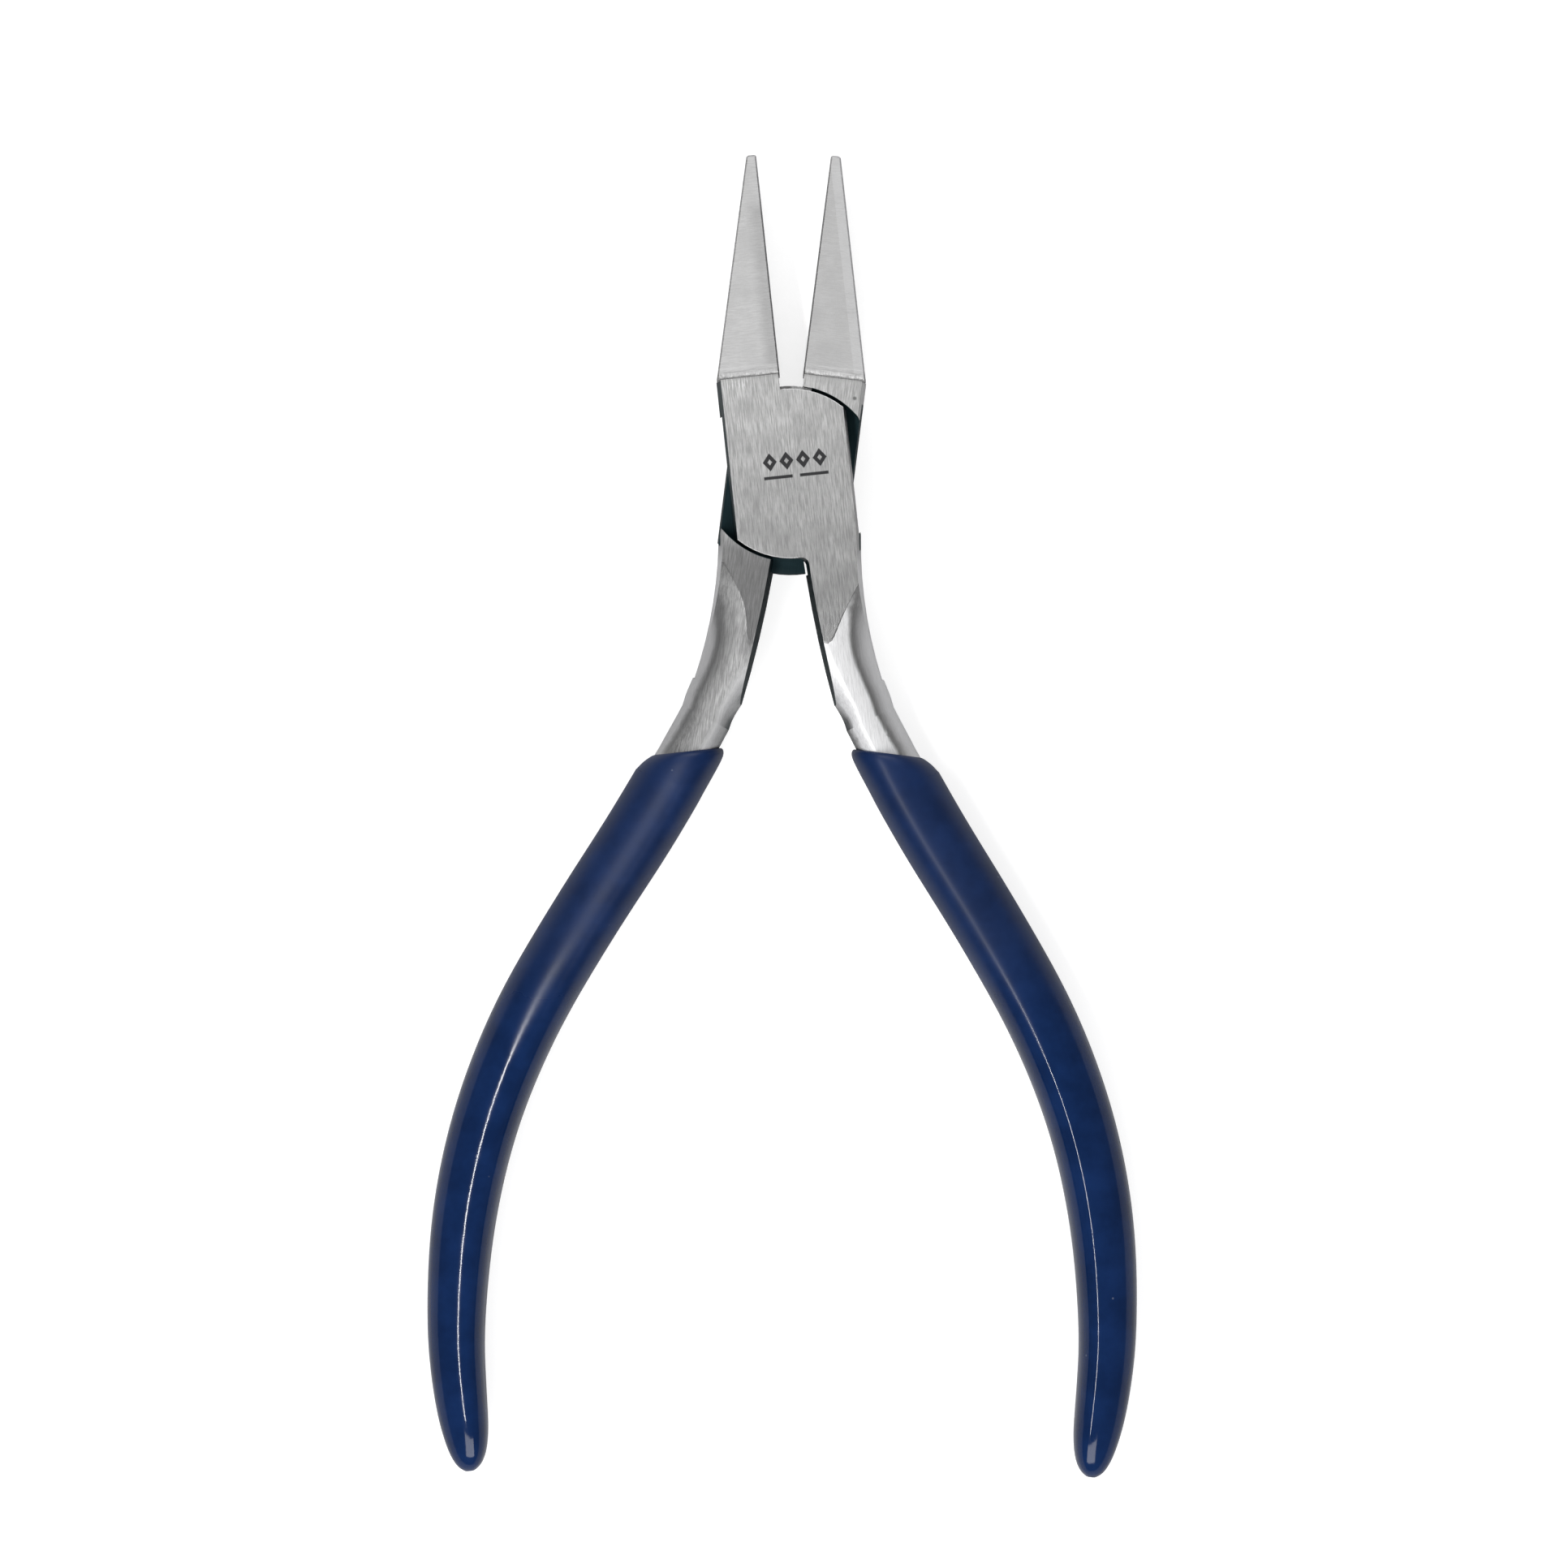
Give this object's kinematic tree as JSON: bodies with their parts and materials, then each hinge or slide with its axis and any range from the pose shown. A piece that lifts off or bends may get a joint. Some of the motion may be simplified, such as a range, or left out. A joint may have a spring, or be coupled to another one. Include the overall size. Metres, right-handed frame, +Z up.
{
  "type": "flat nose pliers",
  "caption": "Flat nose pliers with smooth tapered jaws, a box joint turning on a flush pin, and bowed handles in glossy dipped grips.",
  "frame": {"origin": "pivot axis at the back face of the joint, on which the tool lies", "axes": "+Y towards the jaw tips, +Z up through the thickness of the joint, +X to the right, with the box half's jaw on the left"},
  "size_m": [0.0684, 0.1269, 0.009],
  "materials": {
    "steel": "satin ground",
    "grip": "glossy dipped PVC"
  },
  "bodies": {
    "box_side": {"box_half": "steel", "pivot_pin": "steel", "right_grip": "grip"},
    "through_side": {"through_half": "steel", "left_grip": "grip"}
  },
  "joints": [
    {"name": "pivot", "type": "hinge", "parent": "box_side", "child": "through_side", "pos_m": [0, 0, 0], "axis": [0, 0, 1], "range_deg": [-22.65, 13.35]}
  ]
}
